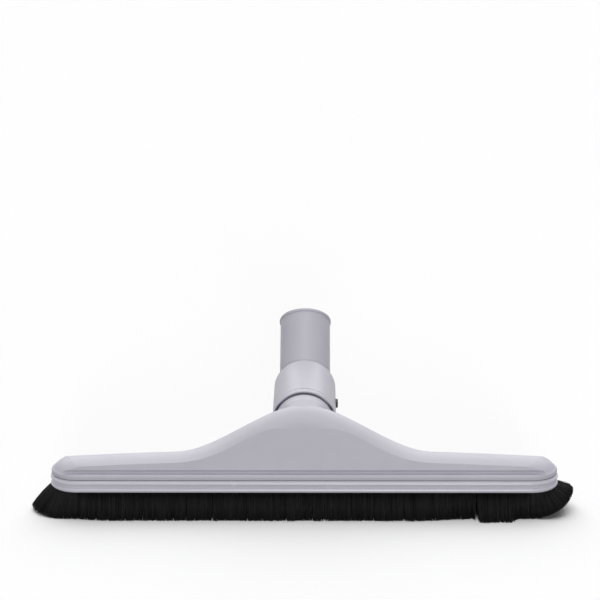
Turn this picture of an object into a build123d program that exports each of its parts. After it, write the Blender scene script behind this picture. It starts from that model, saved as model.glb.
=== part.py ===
# Vacuum floor brush head: a moulded housing with a bell-shaped hump and a neck, a slotted base
# frame with a strip brush round its slot, and a bent wand socket that turns on the neck.
# Millimetres, +Z up. The origin is on the floor under the middle of the head, the neck points to +Y.
import os
from math import cos, radians, sin, tan

from build123d import *

# Plan of the head, a slot shape with round ends
head_length = 363.0
head_depth = 42.0

# Heights of the layers, from the floor up
bristle_reach = 19.0
frame_height = 8.7
flange_height = 5.1
wing_rise = 10.2
hump_rise = 30.0

# Housing: ledge, leaning front face, crowned top and rounded ends
flange_inset = 0.8
ledge_depth = 4.5
ledge_fall = 1.5
lip_round = 2.0
seam_gap = 0.8
seam_gap_depth = 1.6
face_lean = 17.6
face_stock = 8.0
foot_groove_radius = 1.9
foot_groove_offset = 0.5
wing_crown_radius = 30.0
wing_back_angle = 38.0
wing_droop = 5.0
hump_front_radius = 21.2
hump_back_radius = 11.0
hump_half_width = 92.0
wing_edge_angle = 49.0
slope_edge_angle = 35.0
hump_edge_angle = 8.0
edge_overrun = 10.0
crown_ease = 2.5
crown_depth = 30.0
nose_length = 23.0
nose_roll = 16.0
nose_height = 12.2
nose_inset = 0.9
recess_margin = 6.6
recess_corner = 5.0
back_foot_inset = 1.5
shell_wall = 2.6
end_wall = 12.0
rib_spacing = 10.0

# Neck and swivel, along the neck axis from the end face of the neck
neck_y = 30.0
neck_z = 54.9
neck_rise = 5.5
neck_diameter = 43.0
neck_straight = 8.0
neck_root = 24.0
neck_taper = 2.5
flare_length = 10.0
flare_width = 12.0
flare_sink = 4.5
flare_embed = 0.6
spigot_diameter = 39.0
spigot_bore = 33.0
air_way_root = 18.0
spigot_length = 41.0
swivel_clearance = 0.3
pin_station = 34.0
pin_groove_width = 5.0
pin_groove_depth = 1.4

# Swivel ring: a hub on the spigot, a web and a thin lip that leaves a gap before the neck
ring_width = 7.4
ring_gap = 1.8
ring_hub = 1.1
ring_web = 1.6
ring_lip = 0.7
ring_edge = 0.3
ring_fit = 0.05

# Elbow and wand socket
collar_diameter = 46.6
collar_length = 55.5
collar_round = 1.2
elbow_bend = 39.0
bend_lead = 0.5
bend_radius = 24.0
socket_reach = 57.6
socket_bore = 32.0
socket_wall = 3.3
rim_width = 2.4
rim_height = 0.7

# Retaining pin
pin_diameter = 4.0
pin_head_diameter = 7.0
pin_head_height = 2.0
pin_head_sink = 0.4
pin_fit = 0.05

# Base frame
slot_end_margin = 17.5
slot_width = 12.0
slot_edge_round = 1.5
bead_height = 3.3
bead_proud = 1.1
bead_roundness = 0.48
rebate_inset = 5.5
rebate_depth = 2.2
rebate_clearance = 0.3
tongue_wall = 2.0
bridge_length = 11.0
bridge_thickness = 3.0
bridge_recess = 3.7

# Strip brush
groove_inset = 4.6
channel_width = 6.0
channel_height = 5.7
channel_sheet = 0.8
channel_fit = 0.1
wire_diameter = 1.8
bristle_fit = 0.05
strip_joint_x = 121.0
strip_joint_gap = 0.8
bristle_flare = 5.0
bristle_end_flare = 10.5
bristle_end_curl = 120.0
bristle_flare_ease = 1.5
bristle_inner_lean = 1.0
notch_width = 7.0
notch_height = 4.5

# Frame screws
screw_end_margin = 14.0
screw_diameter = 3.5
screw_head_diameter = 7.0
screw_head_height = 2.2
screw_length = 13.0
screw_fit = 0.05
screw_hole_clearance = 0.3
recess_slot_length = 4.2
recess_slot_width = 1.0
recess_slot_depth = 1.0
boss_diameter = 8.5
boss_embed = 1.2

# Levels and half sizes that follow from the sizes above
frame_z = bristle_reach
seam_z = frame_z + frame_height
ledge_z = seam_z + flange_height
wing_crest_z = ledge_z + wing_rise
half_length = head_length / 2
half_depth = head_depth / 2
slot_length = head_length - 2 * slot_end_margin
screw_x = slot_length / 2 - screw_end_margin
neck_radius = neck_diameter / 2
collar_radius = collar_diameter / 2
spigot_radius = spigot_diameter / 2
collar_bore_radius = spigot_radius + swivel_clearance
socket_radius = socket_bore / 2
tube_radius = socket_radius + socket_wall
groove_radius = spigot_radius - pin_groove_depth
collar_start = ring_width + swivel_clearance
collar_end = collar_start + collar_length
socket_start = collar_end - collar_round - socket_wall
bend_station = socket_start + bend_lead + bend_radius * tan(radians(elbow_bend / 2))
bridge_z = frame_z + bridge_recess
bridge_top_z = bridge_z + bridge_thickness
strip_inner = slot_width / 2 + groove_inset
groove_width = channel_width + 2 * channel_fit
strip_middle = strip_inner + groove_width / 2
groove_top_z = frame_z + channel_height

# Cutting solids: how far they reach, how far they pass a face, and what counts as equal
reach = 2 * head_length
overshoot = 1.0
tiny = 0.01

neck_axis = Plane(
    origin=(0, neck_y, neck_z),
    x_dir=(1, 0, 0),
    z_dir=(0, cos(radians(neck_rise)), sin(radians(neck_rise))),
)


# A slot outline of the head's plan, moved in from the edge by an inset
def head_outline(inset):
    return SlotOverall(head_length - 2 * inset, head_depth - 2 * inset)


# A slot outline that keeps a distance from the middle line of the brush's straight runs
def loop_outline(offset):
    return SlotOverall(head_length - head_depth + 2 * offset, 2 * offset)


# A prism on an outline, between two heights
def slab(outline, bottom, top):
    return Pos(0, 0, bottom) * extrude(outline, top - bottom)


# A band that follows the brush loop, between two offsets and two heights
def loop_band(inner, outer, bottom, top):
    return slab(loop_outline(outer) - loop_outline(inner), bottom, top)


# How far up the hump a station lies: 1 in the middle of the head, 0 on the wings
def swell(x):
    if abs(x) >= hump_half_width:
        return 0.0
    return cos(radians(90 * x / hump_half_width)) ** 2


# The front face leans back from the foot of the ledge
def face_y(z):
    return ledge_depth - half_depth + (z - ledge_z) * tan(radians(face_lean))


# Height of the crest along the head: bell hump between drooping wings
def crest_z(x):
    return wing_crest_z + hump_rise * swell(x) - wing_droop * (x / half_length) ** 2


# A value that goes from the wings to the hump as the crest rises
def between(wing, hump, share):
    return wing + (hump - wing) * share


# Angle of the edge between crown and front face: wide on the wings, nearly gone before the neck
def edge_angle(rise):
    slope_part = (slope_edge_angle - hump_edge_angle) * (1 - rise ** 8)
    wing_part = (wing_edge_angle - slope_edge_angle) * (1 - rise) ** 4
    return hump_edge_angle + slope_part + wing_part


# One rib across the head: foot, front, crowned top in two arcs and back, moved in by an inset.
# The front arc is set so that it meets the leaning face at the edge angle.
def rib(x, inset):
    rise = swell(x)
    rounding = 1 - (1 - rise) ** crown_ease
    edge = edge_angle(rise)
    front_radius = between(wing_crown_radius, hump_front_radius, rise)
    back_radius = between(wing_crown_radius, hump_back_radius, rounding) - inset
    front_turn = radians(90 - face_lean - edge + edge_overrun)
    back_turn = radians(between(wing_back_angle, 90, rise))
    setback = front_radius * (cos(radians(edge)) / cos(radians(face_lean)) - tan(radians(face_lean)))
    front_radius -= inset
    top = Vector(face_y(crest_z(x)) + setback, crest_z(x) - inset)

    def crown(radius, turn):
        return top + Vector(sin(turn), cos(turn) - 1) * radius

    front = crown(front_radius, -front_turn)
    back = crown(back_radius, back_turn)
    foot_z = seam_z - crown_depth
    front_foot = Vector(face_y(foot_z) - face_stock + inset, foot_z)
    back_foot = Vector(half_depth - back_foot_inset - inset, foot_z)
    edges = [
        Line(front_foot, front),
        ThreePointArc(front, crown(front_radius, -front_turn / 2), top),
        ThreePointArc(top, crown(back_radius, back_turn / 2), back),
        Line(back, back_foot),
        Line(back_foot, front_foot),
    ]
    return Plane(origin=(x, 0, 0), x_dir=(0, 1, 0), z_dir=(1, 0, 0)) * make_face(edges)


# Evenly spaced stations for the ribs, from just past one end to just past the other
def rib_stations():
    steps = 2 * round(half_length / rib_spacing)
    half_run = half_length + nose_inset
    return [half_run * (2 * i / steps - 1) for i in range(steps + 1)]


# The crowned body through all ribs, cut off at a height
def crowned_body(inset, bottom):
    body = loft([rib(x, inset) for x in rib_stations()])
    return body - Pos(0, 0, bottom - reach / 2) * Box(reach, reach, reach)


# Room inside the rounded ends, where the plan draws in on quarter ellipses above the seam
def nose_room():
    steps = 6
    levels = []
    for i in range(steps + 1):
        turn = radians(90 * i / steps)
        long = head_length - 2 * (nose_inset + nose_length * (1 - cos(turn)))
        deep = head_depth - 2 * (nose_inset + nose_roll * (1 - cos(turn)))
        levels.append(Pos(0, 0, seam_z + nose_height * sin(turn)) * SlotOverall(long, deep))
    middle = head_length - 2 * (nose_inset + nose_length)
    return loft(levels) + slab(Rectangle(middle, reach), 0, reach)


# What stands in front of the leaning face, moved back by a wall
def front_space(half_run, wall):
    back = wall / cos(radians(face_lean))
    top_z = wing_crest_z + 2 * hump_rise
    outline = Polyline(
        (face_y(0) + back, 0),
        (face_y(top_z) + back, top_z),
        (-reach, top_z),
        (-reach, 0),
        close=True,
    )
    side = Plane(origin=(-half_run, 0, 0), x_dir=(0, 1, 0), z_dir=(1, 0, 0))
    return extrude(side * make_face(outline), 2 * half_run)


# The recess in front of the face ends in a rounded corner at each nose
def front_recess():
    space = front_space(half_length - recess_margin, 0)
    leaning = [edge for edge in space.edges() if tiny < abs((edge % 0.5).Z) < 1 - tiny]
    return fillet(leaning, recess_corner)


# Flange with a lip at the seam and a ledge that rises to the foot of the faces
def flange():
    lip_z = ledge_z - ledge_fall
    lip = slab(head_outline(flange_inset), seam_z, lip_z)
    ledge = loft([
        Pos(0, 0, lip_z) * head_outline(flange_inset),
        Pos(0, 0, ledge_z) * head_outline(ledge_depth),
    ])
    body = lip + ledge
    corner = [edge for edge in body.edges() if abs((edge @ 0.5).Z - lip_z) < tiny]
    return fillet(corner, lip_round)


# Shadow gap round the seam, between flange and frame
def shadow_gap():
    ring = head_outline(0) - head_outline(flange_inset + seam_gap_depth)
    return slab(ring, seam_z, seam_z + seam_gap)


# A cylinder on the neck axis, between two stations
def on_axis(radius, start, end):
    return Pos(0, 0, (start + end) / 2) * Cylinder(radius, end - start)


# Neck and its flared root, which spreads into the back of the hump
def neck_outside():
    taper_length = neck_root - neck_straight
    root = on_axis(neck_radius, -neck_straight, 0)
    root += Pos(0, 0, -neck_straight - taper_length / 2) * Cone(
        neck_radius - neck_taper, neck_radius, taper_length
    )
    steps = 4
    sections = []
    for i in range(steps + 1):
        t = i / steps
        spread = t ** 2
        half_wide = neck_radius - flare_embed + (flare_width + flare_embed) * spread
        half_tall = neck_radius - flare_embed - flare_sink * spread
        place = Pos(0, flare_sink * spread, -flare_embed - flare_length * t)
        sections.append(place * Ellipse(half_wide, half_tall))
    return neck_axis * (root + loft(sections))


# Spigot with the groove that the retaining pin runs in
def spigot():
    body = on_axis(spigot_radius, -neck_straight, spigot_length)
    start = pin_station - pin_groove_width / 2
    end = start + pin_groove_width
    body -= on_axis(neck_radius, start, end) - on_axis(groove_radius, start, end)
    return neck_axis * body


# Air way from the hump through neck and spigot
def air_way():
    return neck_axis * on_axis(spigot_bore / 2, -air_way_root, spigot_length + overshoot)


# Hollow of the shell, open at the seam
def cavity():
    bottom = seam_z - overshoot
    body = crowned_body(shell_wall, bottom) - front_space(reach / 2, shell_wall)
    limit = SlotOverall(head_length - 2 * end_wall, head_depth + 2 * ledge_depth)
    body &= slab(limit, bottom, wing_crest_z + hump_rise)
    return body + slab(head_outline(rebate_inset), bottom, seam_z + rebate_depth)


# Boss for a frame screw, up into the roof of a wing, and its pilot hole
def screw_boss(x):
    top = crest_z(x) - boss_embed
    boss = Pos(x, 0, (bridge_top_z + top) / 2) * Cylinder(boss_diameter / 2, top - bridge_top_z)
    low = bridge_top_z - overshoot
    high = bridge_z + screw_length + screw_fit
    pilot = Pos(x, 0, (low + high) / 2) * Cylinder(screw_diameter / 2 + screw_fit, high - low)
    return boss, pilot


def build_housing():
    body = crowned_body(0, seam_z) & nose_room()
    body -= front_recess()
    groove_length = head_length - 2 * (recess_margin + recess_corner)
    groove = Rot(0, 90, 0) * Cylinder(foot_groove_radius, groove_length)
    body += flange()
    body -= Pos(0, face_y(ledge_z) - foot_groove_offset, ledge_z) * groove
    body -= shadow_gap()
    body += neck_outside()
    body -= cavity()
    body += spigot()
    body -= air_way()
    for side in (-1, 1):
        boss, pilot = screw_boss(side * screw_x)
        body = body + boss - pilot
    return body


# Frame with two beads round its edge, the suction slot, the brush groove and two screw bridges
def build_base_frame():
    body = slab(head_outline(bead_proud), frame_z, seam_z)
    for bottom in (frame_z, seam_z - bead_height - bead_proud / 2):
        bead = slab(head_outline(0), bottom, bottom + bead_height)
        rims = [edge for edge in bead.edges() if abs((edge % 0.5).Z) < tiny]
        body += fillet(rims, bead_height * bead_roundness)
    tongue_inset = rebate_inset + rebate_clearance
    tongue = head_outline(tongue_inset) - head_outline(tongue_inset + tongue_wall)
    body += slab(tongue, seam_z, seam_z + rebate_depth - rebate_clearance)
    slot = slab(SlotOverall(slot_length, slot_width), 0, reach)
    mouth_low = SlotOverall(slot_length + 2 * slot_edge_round, slot_width + 2 * slot_edge_round)
    mouth = loft([
        Pos(0, 0, frame_z) * mouth_low,
        Pos(0, 0, frame_z + slot_edge_round) * SlotOverall(slot_length, slot_width),
    ])
    body -= slot + mouth
    body -= loop_band(strip_inner, strip_inner + groove_width, 0, groove_top_z)
    for side in (-1, 1):
        place = Pos(side * screw_x, 0, (bridge_z + bridge_top_z) / 2)
        bridge = Box(bridge_length, slot_width + 2 * slot_edge_round, bridge_thickness)
        hole = Cylinder(screw_diameter / 2 + screw_hole_clearance, bridge_thickness + 2 * overshoot)
        body = body + place * bridge - place * hole
    return body


# The gap where the two ends of the strip meet, on the front run
def joint_gap(width, bottom, top):
    deep = strip_inner + groove_width + bristle_flare + channel_width
    return Pos(strip_joint_x, -deep, (bottom + top) / 2) * Box(width, 2 * deep - slot_width, top - bottom)


# Inner and outer side of the channel, as offsets from the middle line
def channel_sides():
    inner = strip_middle - channel_width / 2
    return inner, inner + channel_width


# The core wire lies under the channel's web
def wire_z():
    return groove_top_z - channel_sheet - wire_diameter


# A round wire on the middle line of the brush loop
def loop_wire(diameter):
    start = Plane(origin=(0, -strip_middle, wire_z()), x_dir=(0, 1, 0), z_dir=(1, 0, 0))
    path = (Pos(0, 0, wire_z()) * loop_outline(strip_middle)).wire()
    return sweep(start * Circle(diameter / 2), path=path)


def build_brush_channel():
    inner, outer = channel_sides()
    body = loop_band(inner, outer, frame_z, groove_top_z)
    body -= loop_band(inner + channel_sheet, outer - channel_sheet, 0, groove_top_z - channel_sheet)
    return body - joint_gap(strip_joint_gap, 0, reach)


def build_core_wire():
    return loop_wire(wire_diameter) - joint_gap(strip_joint_gap, 0, reach)


# Bristle skirt: held in the channel, flared outwards below it, with its tips on the floor
def build_bristles():
    inner, outer = channel_sides()
    root_inner = inner + channel_sheet + bristle_fit
    root_outer = outer - channel_sheet - bristle_fit
    tip_outer = half_depth + bristle_flare
    end_reach = half_length + bristle_end_flare
    root_end = (head_length - head_depth) / 2 + root_outer
    root = loop_band(root_inner, root_outer, frame_z, groove_top_z - channel_sheet - bristle_fit)
    steps = 4
    levels = []
    for i in range(steps + 1):
        t = i / steps
        offset = root_outer + (tip_outer - root_outer) * t ** bristle_flare_ease
        half_run = root_end + (end_reach - root_end) * sin(radians(bristle_end_curl * t))
        levels.append(Pos(0, 0, frame_z * (1 - t)) * SlotOverall(2 * half_run, 2 * offset))
    skirt = loft(levels)
    inside = loft([
        Pos(0, 0, frame_z) * loop_outline(root_inner),
        Pos(0, 0, 0) * loop_outline(root_inner - bristle_inner_lean),
    ])
    body = root + (skirt - inside) - loop_wire(wire_diameter + 2 * bristle_fit)
    body -= joint_gap(strip_joint_gap, 0, reach)
    notch = Polyline((-notch_width / 2, 0), (notch_width / 2, 0), (0, notch_height), close=True)
    wedge = extrude(Plane.XZ * make_face(notch), reach / 2)
    return body - Pos(strip_joint_x, 0, 0) * wedge


# Pan-head screws that hold the frame's bridges to the housing's bosses
def build_frame_screws():
    head_z = bridge_z - screw_head_height
    head = Pos(0, 0, (head_z + bridge_z) / 2) * Cylinder(screw_head_diameter / 2, screw_head_height)
    head = fillet(head.edges().sort_by(Axis.Z)[:1], screw_head_height / 2)
    shank = Pos(0, 0, bridge_z + screw_length / 2) * Cylinder(screw_diameter / 2, screw_length)
    cross = Box(recess_slot_length, recess_slot_width, 2 * recess_slot_depth)
    cross += Rot(0, 0, 90) * cross
    screw = head + shank - Pos(0, 0, head_z) * cross
    return Compound([Pos(side * screw_x, 0, 0) * screw for side in (-1, 1)])


def build_swivel_ring():
    lip = on_axis(collar_radius, ring_gap, ring_width)
    lip = chamfer(lip.edges(), ring_edge)
    lip -= on_axis(collar_radius - ring_lip, 0, ring_width - ring_web)
    body = lip + on_axis(spigot_radius + ring_hub, 0, ring_width)
    return neck_axis * (body - on_axis(spigot_radius + ring_fit, -overshoot, ring_width + overshoot))


# Path of the socket's middle line: straight out of the collar, round the bend, up to the rim
def socket_path(extra):
    turn = radians(elbow_bend)
    start = Vector(0, 0, socket_start)
    corner = Vector(0, 0, bend_station)
    end = corner + Vector(0, -sin(turn), cos(turn)) * (socket_reach + extra)
    return FilletPolyline(start, corner, end, radius=bend_radius)


# A round bar along the socket's path
def along_socket(radius, extra):
    path = socket_path(extra)
    return sweep(Plane(origin=path @ 0, z_dir=(0, 0, 1)) * Circle(radius), path=path.wire())


# Plane of the retaining pin, on the side of the collar
def pin_side():
    return Plane(origin=(0, 0, pin_station), x_dir=(0, 0, 1), z_dir=(1, 0, 0))


# Collar that turns on the spigot, with the bent wand socket on its end
def build_swivel_elbow():
    collar = on_axis(collar_radius, collar_start, collar_end)
    collar = fillet(collar.edges().sort_by(Axis.Z)[-1:], collar_round)
    body = collar + along_socket(tube_radius, 0)
    path = socket_path(0)
    rim = Pos(0, 0, -rim_width / 2) * Cylinder(tube_radius + rim_height, rim_width)
    rim = fillet(rim.edges().filter_by(GeomType.CIRCLE), rim_height)
    body += Plane(origin=path @ 1, z_dir=path % 1) * rim
    body -= on_axis(collar_bore_radius, 0, socket_start)
    body -= along_socket(socket_radius, overshoot)
    hole = on_axis(pin_diameter / 2 + pin_fit, 0, collar_diameter)
    seat = on_axis(pin_head_diameter / 2 + pin_fit, collar_radius - pin_head_sink, collar_diameter)
    body -= pin_side() * (hole + seat)
    return neck_axis * body


# Round-headed pin through the collar, its tip in the spigot's groove
def build_retaining_pin():
    head_start = collar_radius - pin_head_sink
    head = on_axis(pin_head_diameter / 2, head_start, head_start + pin_head_height)
    head = fillet(head.edges().sort_by(Axis.Z)[-1:], pin_head_height / 2)
    body = head + on_axis(pin_diameter / 2, groove_radius + swivel_clearance, head_start)
    return neck_axis * (pin_side() * body)


nodes = {
    "housing": build_housing,
    "base_frame": build_base_frame,
    "brush_channel": build_brush_channel,
    "core_wire": build_core_wire,
    "bristles": build_bristles,
    "frame_screws": build_frame_screws,
    "swivel_ring": build_swivel_ring,
    "swivel_elbow": build_swivel_elbow,
    "retaining_pin": build_retaining_pin,
}

os.makedirs("parts", exist_ok=True)
for name, build in nodes.items():
    shape = build()
    print(name, len(shape.solids()), round(shape.volume))
    export_step(shape, "parts/" + name + ".step")
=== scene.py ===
import math

import bpy
import numpy as np
from mathutils import Euler, Matrix, Vector


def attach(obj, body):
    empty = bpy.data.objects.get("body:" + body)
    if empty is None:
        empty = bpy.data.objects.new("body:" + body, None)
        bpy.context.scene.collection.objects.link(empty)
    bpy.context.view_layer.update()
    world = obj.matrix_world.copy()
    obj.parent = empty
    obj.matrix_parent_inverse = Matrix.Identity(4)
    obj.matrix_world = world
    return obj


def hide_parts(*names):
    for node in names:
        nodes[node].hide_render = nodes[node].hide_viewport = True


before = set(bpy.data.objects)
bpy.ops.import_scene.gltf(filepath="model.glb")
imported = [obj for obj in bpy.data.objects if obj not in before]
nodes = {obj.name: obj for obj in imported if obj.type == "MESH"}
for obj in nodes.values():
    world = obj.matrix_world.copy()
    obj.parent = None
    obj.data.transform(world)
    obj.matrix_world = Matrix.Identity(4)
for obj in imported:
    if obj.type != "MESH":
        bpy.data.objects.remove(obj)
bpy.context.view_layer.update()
print("frame loaded:", len(nodes), "nodes")

mm = 0.001
noiseLow, noiseHigh = 0.3, 0.7  # a noise texture's values mostly lie between these
scene = bpy.context.scene


# one shader tree: a Principled surface with helpers to add and link nodes
class Finish:
    def __init__(self, name):
        self.material = bpy.data.materials.new(name)
        self.material.use_nodes = True
        self.tree = self.material.node_tree
        self.surface = next(n for n in self.tree.nodes if n.type == "BSDF_PRINCIPLED")

    def add(self, kind, **values):
        node = self.tree.nodes.new(kind)
        for key, value in values.items():
            if key in node.inputs:
                node.inputs[key].default_value = value
            else:
                setattr(node, key, value)
        return node

    def link(self, source, target):
        self.tree.links.new(source, target)

    # feeds the surface's own socket of that name
    def feed(self, source, socket):
        self.link(source, self.surface.inputs[socket])

    def set(self, **values):
        for key, value in values.items():
            self.surface.inputs[key.replace("_", " ")].default_value = value

    def place(self, scale=(1, 1, 1)):
        where = self.add("ShaderNodeTexCoord")
        stretch = self.add("ShaderNodeMapping", Scale=scale)
        self.link(where.outputs["Object"], stretch.inputs["Vector"])
        return stretch.outputs["Vector"]

    def noise(self, vector, scale, detail, roughness=0.5):
        node = self.add("ShaderNodeTexNoise", Scale=scale, Detail=detail, Roughness=roughness)
        self.link(vector, node.inputs["Vector"])
        return node.outputs["Fac"]

    def span(self, value, low, high, start=noiseLow, end=noiseHigh):
        node = self.add("ShaderNodeMapRange")
        node.inputs["From Min"].default_value = start
        node.inputs["From Max"].default_value = end
        node.inputs["To Min"].default_value = low
        node.inputs["To Max"].default_value = high
        self.link(value, node.inputs["Value"])
        return node.outputs["Result"]

    def ramp(self, value, *stops):
        node = self.add("ShaderNodeValToRGB")
        node.color_ramp.elements[0].position = stops[0][0]
        node.color_ramp.elements[0].color = (*stops[0][1], 1)
        node.color_ramp.elements[1].position = stops[-1][0]
        node.color_ramp.elements[1].color = (*stops[-1][1], 1)
        for place, colour in stops[1:-1]:
            node.color_ramp.elements.new(place).color = (*colour, 1)
        self.link(value, node.inputs["Fac"])
        return node.outputs["Color"]

    # one colour, darker where the noise is low and lighter where it is high
    def mottle(self, value, colour, dark, light):
        return self.ramp(value, (noiseLow, shade(colour, dark)), (noiseHigh, shade(colour, light)))

    def bump(self, height, distance, below=None):
        node = self.add("ShaderNodeBump", Strength=1.0, Distance=distance)
        self.link(height, node.inputs["Height"])
        if below is not None:
            self.link(below, node.inputs["Normal"])
        return node.outputs["Normal"]


def shade(colour, amount):
    return tuple(c * amount for c in colour)


# satin moulded plastic: a fine eroded grain, faint flow marks along the head, uneven gloss
# flow, cloud, wave and grain give the scale and detail of a noise, flow its roughness too
greyPlastic = {
    "colour": (0.518, 0.506, 0.570),
    "flow": (55, 4, 0.55),
    "flowStretch": (0.25, 1, 1),
    "flowTones": (0.98, 1.02),
    "cloud": (90, 3),
    "gloss": (0.32, 0.42),
    "specular": 0.22,
    "wave": (45, 1),
    "waveDepth": 0.03 * mm,
    "grain": (2600, 2),
    "grainDepth": 0.012 * mm,
}

# the frame's plastic is glossier than the shell's, and its colour is lifted over the shell's as
# painted light, brightening its beads in place of the light and highlights they catch
beadLightLift = 1.18
framePlastic = {
    **greyPlastic,
    "colour": shade(greyPlastic["colour"], beadLightLift),
    "gloss": (0.20, 0.28),
    "specular": 0.5,
}


def mouldedPlastic(name, look):
    f = Finish(name)
    plain = f.place()
    stretched = f.place(look["flowStretch"])
    flow = f.noise(stretched, *look["flow"])
    f.feed(f.mottle(flow, look["colour"], *look["flowTones"]), "Base Color")
    f.feed(f.span(f.noise(plain, *look["cloud"]), *look["gloss"]), "Roughness")
    wave = f.bump(f.noise(stretched, *look["wave"]), look["waveDepth"])
    f.feed(f.bump(f.noise(plain, *look["grain"]), look["grainDepth"], wave), "Normal")
    f.set(Specular_IOR_Level=look["specular"])
    return f.material


# rolled steel strip: fine draw lines along the head and cloudy gloss
rolledSteel = {
    "colour": (0.56, 0.57, 0.60),
    "cloud": (160, 4),
    "cloudTones": (0.85, 1.0),
    "lines": (2200, 2),
    "lineStretch": (0.02, 1, 1),
    "lineDepth": 0.01 * mm,
    "gloss": (0.22, 0.42),
}


def drawnSteel(name, look):
    f = Finish(name)
    lines = f.noise(f.place(look["lineStretch"]), *look["lines"])
    cloud = f.noise(f.place(), *look["cloud"])
    f.feed(f.mottle(cloud, look["colour"], *look["cloudTones"]), "Base Color")
    f.feed(f.span(lines, *look["gloss"]), "Roughness")
    f.feed(f.bump(lines, look["lineDepth"]), "Normal")
    f.set(Metallic=1.0)
    return f.material


# dark pin: moulded plug with a faint grain
darkPlug = {
    "colour": (0.030, 0.030, 0.033),
    "fleck": (300, 3),
    "fleckTones": (0.8, 1.3),
    "cloud": (200, 2),
    "gloss": (0.35, 0.5),
    "grain": (2600, 2),
    "grainDepth": 0.01 * mm,
}


def plugPlastic(name, look):
    f = Finish(name)
    plain = f.place()
    fleck = f.noise(plain, *look["fleck"])
    f.feed(f.mottle(fleck, look["colour"], *look["fleckTones"]), "Base Color")
    f.feed(f.span(f.noise(plain, *look["cloud"]), *look["gloss"]), "Roughness")
    f.feed(f.bump(f.noise(plain, *look["grain"]), look["grainDepth"]), "Normal")
    return f.material


shellFinish = mouldedPlastic("grey_moulding", greyPlastic)
frameFinish = mouldedPlastic("frame_moulding", framePlastic)
steelFinish = drawnSteel("rolled_steel", rolledSteel)
plugFinish = plugPlastic("dark_plug", darkPlug)
finishes = {
    "housing": shellFinish,
    "base_frame": frameFinish,
    "swivel_ring": shellFinish,
    "swivel_elbow": shellFinish,
    "brush_channel": steelFinish,
    "core_wire": steelFinish,
    "frame_screws": steelFinish,
    "retaining_pin": plugFinish,
}
for name, finish in finishes.items():
    nodes[name].data.materials.clear()
    nodes[name].data.materials.append(finish)
print("finishes on", len(finishes), "nodes")


# bristles: single filaments, rooted in the channel, flared outwards and parted into clumps
# tones gives places on the filaments' own tone from 0 to 1 and the share of the colour there
brush = {
    "seed": 31,
    "thickness": (0.34 * mm, 0.50 * mm),
    "tipTaper": 0.3,
    "straightHalf": 160.5 * mm,
    "rootInner": 11.7 * mm,
    "rootOuter": 15.7 * mm,
    "rootHeight": 21.5 * mm,
    "tipOuter": 25.6 * mm,
    "elbowOut": 0.12,
    "trim": 0.5 * mm,
    "stray": 0.45 * mm,
    "clump": 5.5 * mm,
    "clumpPull": 0.12,
    "clumpLean": 0.4 * mm,
    "clumpWander": 0.35,
    "wanderPerMm": 0.9,
    "leanScatter": (12.9898, 43758.5453),
    "colour": (0.0098, 0.0096, 0.0098),
    "tones": ((0.0, 0.45), (0.75, 1.0), (1.0, 2.7)),
    "gloss": (0.42, 0.65),
    "specular": 0.14,
}
draw = np.random.default_rng(brush["seed"])


def bristleBlack(name, look):
    f = Finish(name)
    tone = f.add("ShaderNodeAttribute", attribute_name="tone").outputs["Fac"]
    stops = [(place, shade(look["colour"], amount)) for place, amount in look["tones"]]
    f.feed(f.ramp(tone, *stops), "Base Color")
    f.feed(f.span(tone, *look["gloss"], 0, 1), "Roughness")
    f.set(Specular_IOR_Level=look["specular"])
    return f.material


bristleFinish = bristleBlack("black_bristle", brush)


# the tips draw together towards the middle of their clump, each clump with a lean of its own:
# shift = (middle - along) pull + lean times its length, lean = 2 fraction(size sine(rate number)) - 1
def clumped(along):
    wander = brush["clumpWander"] * np.sin(along / mm * brush["wanderPerMm"])
    number = np.floor(along / brush["clump"] + wander)
    middle = (number + 0.5) * brush["clump"]
    rate, size = brush["leanScatter"]
    lean = np.sin(number * rate) * size
    lean = 2 * (lean - np.floor(lean)) - 1
    return (middle - along) * brush["clumpPull"] + lean * brush["clumpLean"], lean


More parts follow.
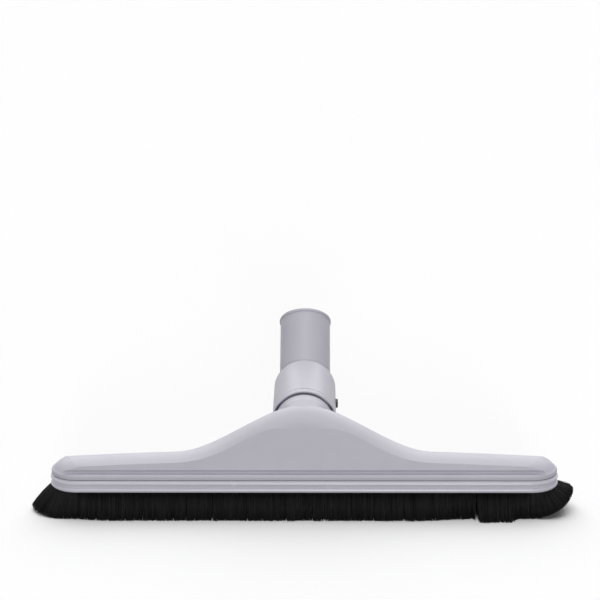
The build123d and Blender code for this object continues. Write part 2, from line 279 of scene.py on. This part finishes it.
# each filament is a quadratic curve that leaves its root towards the elbow and ends at the tip:
# point = (1-t)^2 root + 2t(1-t) elbow + t^2 tip
# a three-sided section is carried along it and thins towards the tip:
# ring = point + radius (cos a side + sin a across), radius = half thickness (1 - taper t^2)
def filaments(name, segments, root, elbow, tip):
    count = len(root)
    steps = segments + 1
    edges = 3
    t = np.linspace(0, 1, steps)[None, :, None]
    line = (1 - t) ** 2 * root[:, None] + 2 * t * (1 - t) * elbow[:, None] + t ** 2 * tip[:, None]
    run = np.gradient(line, axis=1)
    run /= np.linalg.norm(run, axis=2, keepdims=True)
    turn = draw.uniform(0, 2 * np.pi, count)
    hintRise = np.full(count, 0.3)  # any slant off the filament's own line will do
    hint = np.stack([np.cos(turn), np.sin(turn), hintRise], axis=1)[:, None]
    side = np.cross(run, hint)
    side /= np.linalg.norm(side, axis=2, keepdims=True)
    across = np.cross(run, side)
    taper = 1 - brush["tipTaper"] * t[0, :, 0] ** 2
    radius = draw.uniform(*brush["thickness"], count)[:, None] / 2 * taper
    k = np.arange(edges)
    angle = k * 2 * np.pi / edges
    ring = np.cos(angle)[:, None] * side[:, :, None] + np.sin(angle)[:, None] * across[:, :, None]
    points = line[:, :, None] + radius[:, :, None, None] * ring
    points[..., 2] = np.maximum(points[..., 2], 0)  # nothing goes under the floor

    base = (np.arange(count) * steps * edges)[:, None, None]
    low = base + (np.arange(segments) * edges)[None, :, None]
    high = low + edges
    following = (k + 1) % edges
    sides = np.stack([low + k, low + following, high + following, high + k], axis=-1).reshape(-1, 4)
    first = base[:, 0] + k[::-1]
    last = base[:, 0] + segments * edges + k
    caps = np.concatenate([first, last])
    corners = np.concatenate([sides.ravel(), caps.ravel()]).astype(np.int32)
    starts = np.concatenate([np.arange(len(sides)) * 4, sides.size + np.arange(len(caps)) * edges])
    smooth = np.concatenate([np.ones(len(sides), bool), np.zeros(len(caps), bool)])

    mesh = bpy.data.meshes.new(name)
    mesh.vertices.add(count * steps * edges)
    mesh.vertices.foreach_set("co", points.astype(np.float32).ravel())
    mesh.loops.add(len(corners))
    mesh.loops.foreach_set("vertex_index", corners)
    mesh.polygons.add(len(starts))
    mesh.polygons.foreach_set("loop_start", starts.astype(np.int32))
    mesh.polygons.foreach_set("use_smooth", smooth)
    mesh.update(calc_edges=True)
    tone = np.repeat(draw.uniform(0, 1, count), steps * edges).astype(np.float32)
    mesh.attributes.new("tone", "FLOAT", "POINT").data.foreach_set("value", tone)
    mesh.materials.append(bristleFinish)
    piece = bpy.data.objects.new(name, mesh)
    scene.collection.objects.link(piece)
    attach(piece, "head")
    print(name, count, "bristles,", len(sides) * 2 + len(caps), "triangles")
    return piece


# a straight run of the strip; clumpsFrom starts the clumps elsewhere on each side,
# partings hold place along the head, push apart and reach, and frontLie bends the front in or out
straight = {
    "perMetre": 43000,
    "segments": 2,
    "outerShare": 1.7,
    "tipInner": 10.8 * mm,
    "flareCurve": 1.15,
    "clumpReach": 0.5 * mm,
    "trimMiddle": 0.55,
    "trimLean": 0.35,
    "trimRange": (0.3, 1),
    "elbowShift": 0.2,
    "elbowHeight": 9 * mm,
    "clumpsFrom": {"front": 0, "back": 0.4},
    "partings": {
        "front": ((122 * mm, 1.5 * mm, 5 * mm),),
        "back": ((-118 * mm, 1.4 * mm, 5 * mm), (25 * mm, 1.2 * mm, 5 * mm)),
    },
    "frontLie": {
        "at": (-161 * mm, -140 * mm, 85 * mm, 121 * mm, 123 * mm, 146 * mm, 151 * mm, 161 * mm),
        "flare": (-3 * mm, 0 * mm, 0 * mm, -4.5 * mm, 3.5 * mm, 3 * mm, -3 * mm, -4 * mm),
    },
}


# roots fill the channel, depth runs from 0 at the inner row to 1 at the outer one:
# tip along = root along + shift of its clump + stray + push of the partings,
# tip out = inner tip + (outer tip - inner tip) depth^curve + lean of its clump + stray
def straightRun(name, side):
    half = brush["straightHalf"]
    count = int(2 * half * straight["perMetre"])
    along = draw.uniform(-half, half, count)
    depth = 1 - draw.uniform(0, 1, count) ** straight["outerShare"]
    pull, lean = clumped(along + straight["clumpsFrom"][side])
    shift = pull + draw.normal(0, brush["stray"], count)
    for place, push, reach in straight["partings"][side]:
        away = along - place
        shift += np.sign(away) * push * np.exp(-(away / reach) ** 2)
    out = brush["rootInner"] + (brush["rootOuter"] - brush["rootInner"]) * depth
    flare = brush["tipOuter"] - straight["tipInner"]
    tipOut = straight["tipInner"] + flare * depth ** straight["flareCurve"]
    tipOut += lean * straight["clumpReach"] + draw.normal(0, brush["stray"], count)
    trim = brush["trim"] * (straight["trimMiddle"] + straight["trimLean"] * lean)
    trim *= draw.uniform(*straight["trimRange"], count)
    if side == "front":
        tipOut += np.interp(along, straight["frontLie"]["at"], straight["frontLie"]["flare"]) * depth
    sign = -1 if side == "front" else 1
    elbowOut = out + brush["elbowOut"] * (tipOut - out)
    rootHigh = np.full(count, brush["rootHeight"])
    elbowHigh = np.full(count, straight["elbowHeight"])
    root = np.stack([along, sign * out, rootHigh], axis=1)
    elbow = np.stack([along + straight["elbowShift"] * shift, sign * elbowOut, elbowHigh], axis=1)
    tip = np.stack([along + shift, sign * tipOut, trim], axis=1)
    return filaments(name, straight["segments"], root, elbow, tip)


# a round end of the strip: splay in degrees from upright, length of the outermost filaments,
# and how far out the tips lie where the end meets the straight runs
ends = {
    "perMetre": 63000,
    "segments": 4,
    "outerShare": 2.2,
    "mouthHeight": 19.0 * mm,
    "innerLean": -4.0,
    "fan": 1.3,
    "point": 2.5,
    "stray": 0.8,
    "lengthRange": (0.97, 1.0),
    "trimRange": (0.2, 0.8),
    "elbowReach": 0.3,
    "elbowDrop": 0.35,
    "elbowHold": 0.33,
    "clumpsFrom": 0.7,
    "left": {"splay": 50.5, "length": 25.4 * mm, "corner": 22.6 * mm},
    "right": {"splay": 80.0, "length": 16.8 * mm, "corner": 21.4 * mm},
}


# the rows go round a half circle, and the outer ones leave flat under the frame's edge:
# splay = inner lean + (outer splay - inner lean) depth^fan + lean of its clump + stray,
# tip = mouth + length (sine of the splay outwards, cosine downwards), kept above the floor.
# outer splay and length change from the straight run's to the end's own with the squared cosine
# of the turn, and the length with depth^point too
def roundEnd(name, side):
    look = ends[side]
    count = int(np.pi * brush["rootOuter"] * ends["perMetre"])
    turn = draw.uniform(-np.pi / 2, np.pi / 2, count)
    depth = 1 - draw.uniform(0, 1, count) ** ends["outerShare"]
    pull, lean = clumped(turn * brush["tipOuter"] + ends["clumpsFrom"])
    turnTip = turn + (pull + draw.normal(0, brush["stray"], count)) / brush["tipOuter"]
    out = brush["rootInner"] + (brush["rootOuter"] - brush["rootInner"]) * depth
    runOut = look["corner"] - brush["rootOuter"]
    fall = ends["mouthHeight"]
    runSplay = np.degrees(np.arctan2(runOut, fall))
    runLength = np.hypot(runOut, fall)
    atEnd = np.cos(turn) ** 2
    outer = runSplay + (look["splay"] - runSplay) * atEnd
    inner = ends["innerLean"]
    splay = inner + (outer - inner) * depth ** ends["fan"] + lean
    splay = np.radians(splay + draw.normal(0, ends["stray"], count))
    share = atEnd * depth ** ends["point"]
    reach = runLength + (look["length"] - runLength) * share
    reach *= draw.uniform(*ends["lengthRange"], count)
    tipOut = out + reach * np.sin(splay)
    trim = brush["trim"] * draw.uniform(*ends["trimRange"], count)
    tipHigh = np.maximum(fall - reach * np.cos(splay), trim)
    elbowOut = out + (brush["elbowOut"] + ends["elbowReach"] * share) * (tipOut - out)
    elbowHigh = fall - (ends["elbowDrop"] - ends["elbowHold"] * share) * reach * np.cos(splay)
    rootHigh = np.full(count, brush["rootHeight"])
    sign = -1 if side == "left" else 1
    middle = sign * brush["straightHalf"]

    # point = middle of the end + far (cosine of the angle along the head, sine across it)
    def roundMiddle(far, angle, high):
        return np.stack([middle + sign * far * np.cos(angle), far * np.sin(angle), high], axis=1)

    root = roundMiddle(out, turn, rootHigh)
    elbow = roundMiddle(elbowOut, turn, elbowHigh)
    tip = roundMiddle(tipOut, turnTip, tipHigh)
    return filaments(name, ends["segments"], root, elbow, tip)


tufts = [
    straightRun("bristles_front", "front"),
    straightRun("bristles_back", "back"),
    roundEnd("bristles_left", "left"),
    roundEnd("bristles_right", "right"),
]
for tuft in tufts:
    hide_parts("bristles")
print("bristles in", len(tufts), "tufts")


# a white floor under a white sky, with soft lamps from behind, from above and, low down, in front
stage = {
    "floorHalf": 14.0,
    "floorDrop": 0.15 * mm,
    "floorColour": (0.99, 0.99, 0.99),
    "floorBounce": 0.41,
    "floorRoughness": 0.9,
    "skyStrength": 0.16,
    "lamps": {
        "back": {"azimuth": 180, "elevation": 50, "softness": 75, "strength": 0.65},
        "top": {"azimuth": 0, "elevation": 75, "softness": 40, "strength": 0.32},
        "front": {"azimuth": 3, "elevation": 6, "softness": 12, "strength": 0.33},
    },
}


# 1 where floor or sky is seen, straight or in a reflection, and 0 where it only lights the head
def seenRay(tree):
    ray = tree.nodes.new("ShaderNodeLightPath")
    seen = ray.outputs["Is Camera Ray"]
    for other in ("Is Glossy Ray", "Is Transmission Ray"):
        either = tree.nodes.new("ShaderNodeMath")
        either.operation = "MAXIMUM"
        tree.links.new(seen, either.inputs[0])
        tree.links.new(ray.outputs[other], either.inputs[1])
        seen = either.outputs["Value"]
    return seen


# the floor looks white wherever it is seen and throws back less as a bounce
def whiteFloor(name, look):
    f = Finish(name)
    white = look["floorColour"]
    bounce = shade(white, look["floorBounce"])
    f.feed(f.ramp(seenRay(f.tree), (0.0, bounce), (1.0, white)), "Base Color")
    f.set(Roughness=look["floorRoughness"], Specular_IOR_Level=0.0)
    return f.material


half = stage["floorHalf"]
floorCorners = [(-half, -half, 0), (half, -half, 0), (half, half, 0), (-half, half, 0)]
floorMesh = bpy.data.meshes.new("floor")
floorMesh.from_pydata(floorCorners, [], [(0, 1, 2, 3)])
floorMesh.materials.append(whiteFloor("pale_floor", stage))
floor = bpy.data.objects.new("floor", floorMesh)
floor.location.z = -stage["floorDrop"]
scene.collection.objects.link(floor)

# the sky is white wherever it is seen and lights the head less than that
sky = bpy.data.worlds.new("sky")
scene.world = sky
sky.use_nodes = True
skyTree = sky.node_tree
skyGlow = next(n for n in skyTree.nodes if n.type == "BACKGROUND")
skyGlow.inputs["Color"].default_value = (1, 1, 1, 1)
skyLevel = skyTree.nodes.new("ShaderNodeMapRange")
skyLevel.inputs["To Min"].default_value = stage["skyStrength"]
skyLevel.inputs["To Max"].default_value = 1.0
skyTree.links.new(seenRay(skyTree), skyLevel.inputs["Value"])
skyTree.links.new(skyLevel.outputs["Result"], skyGlow.inputs["Strength"])


# the direction out of the scene, azimuth 0 in front of the head and growing to its right
def outward(azimuth, elevation):
    turn, up = math.radians(azimuth), math.radians(elevation)
    return Vector((math.sin(turn) * math.cos(up), -math.cos(turn) * math.cos(up), math.sin(up)))


for name, lamp in stage["lamps"].items():
    light = bpy.data.lights.new(name, "SUN")
    light.energy = lamp["strength"] * math.pi  # strength 1 straight on shows a colour as written
    light.angle = math.radians(lamp["softness"])
    holder = bpy.data.objects.new(name, light)
    holder.location = outward(lamp["azimuth"], lamp["elevation"])
    holder.rotation_euler = (-holder.location).to_track_quat("-Z", "Y").to_euler()
    scene.collection.objects.link(holder)
print("floor, sky and", len(stage["lamps"]), "lamps set")

# the camera looks down on the head from the front; the target shows at the pixel given with it
view = {
    "target": (0, -21 * mm, 19 * mm),
    "pixel": (303.2, 493.3),
    "azimuth": 0.6,
    "elevation": 21.0,
    "roll": -0.21,
    "distance": 1.2,
    "picture": 600,
    "mmPerPixel": 0.71,
    "sensor": 36.0,
}
lens = view["sensor"] * view["distance"] / (view["picture"] * view["mmPerPixel"] * mm)
pixelAngle = view["sensor"] / view["picture"] / lens
aside = math.atan((view["pixel"][0] - view["picture"] / 2) * pixelAngle)
below = math.atan((view["pixel"][1] - view["picture"] / 2) * pixelAngle)
tilt = math.pi / 2 - (math.radians(view["elevation"]) - below)
turned = Euler((tilt, 0, aside + math.radians(view["azimuth"]))).to_matrix()
rolled = turned @ Matrix.Rotation(math.radians(view["roll"]), 3, "Z")
back = outward(view["azimuth"], view["elevation"])
camera = bpy.data.objects.new("camera", bpy.data.cameras.new("camera"))
camera.data.sensor_width = view["sensor"]
camera.data.lens = lens
camera.location = Vector(view["target"]) + back * view["distance"]
camera.rotation_euler = rolled.to_euler()
scene.collection.objects.link(camera)
scene.camera = camera
scene.view_settings.view_transform = "Standard"
print("camera set, lens", round(lens, 1))
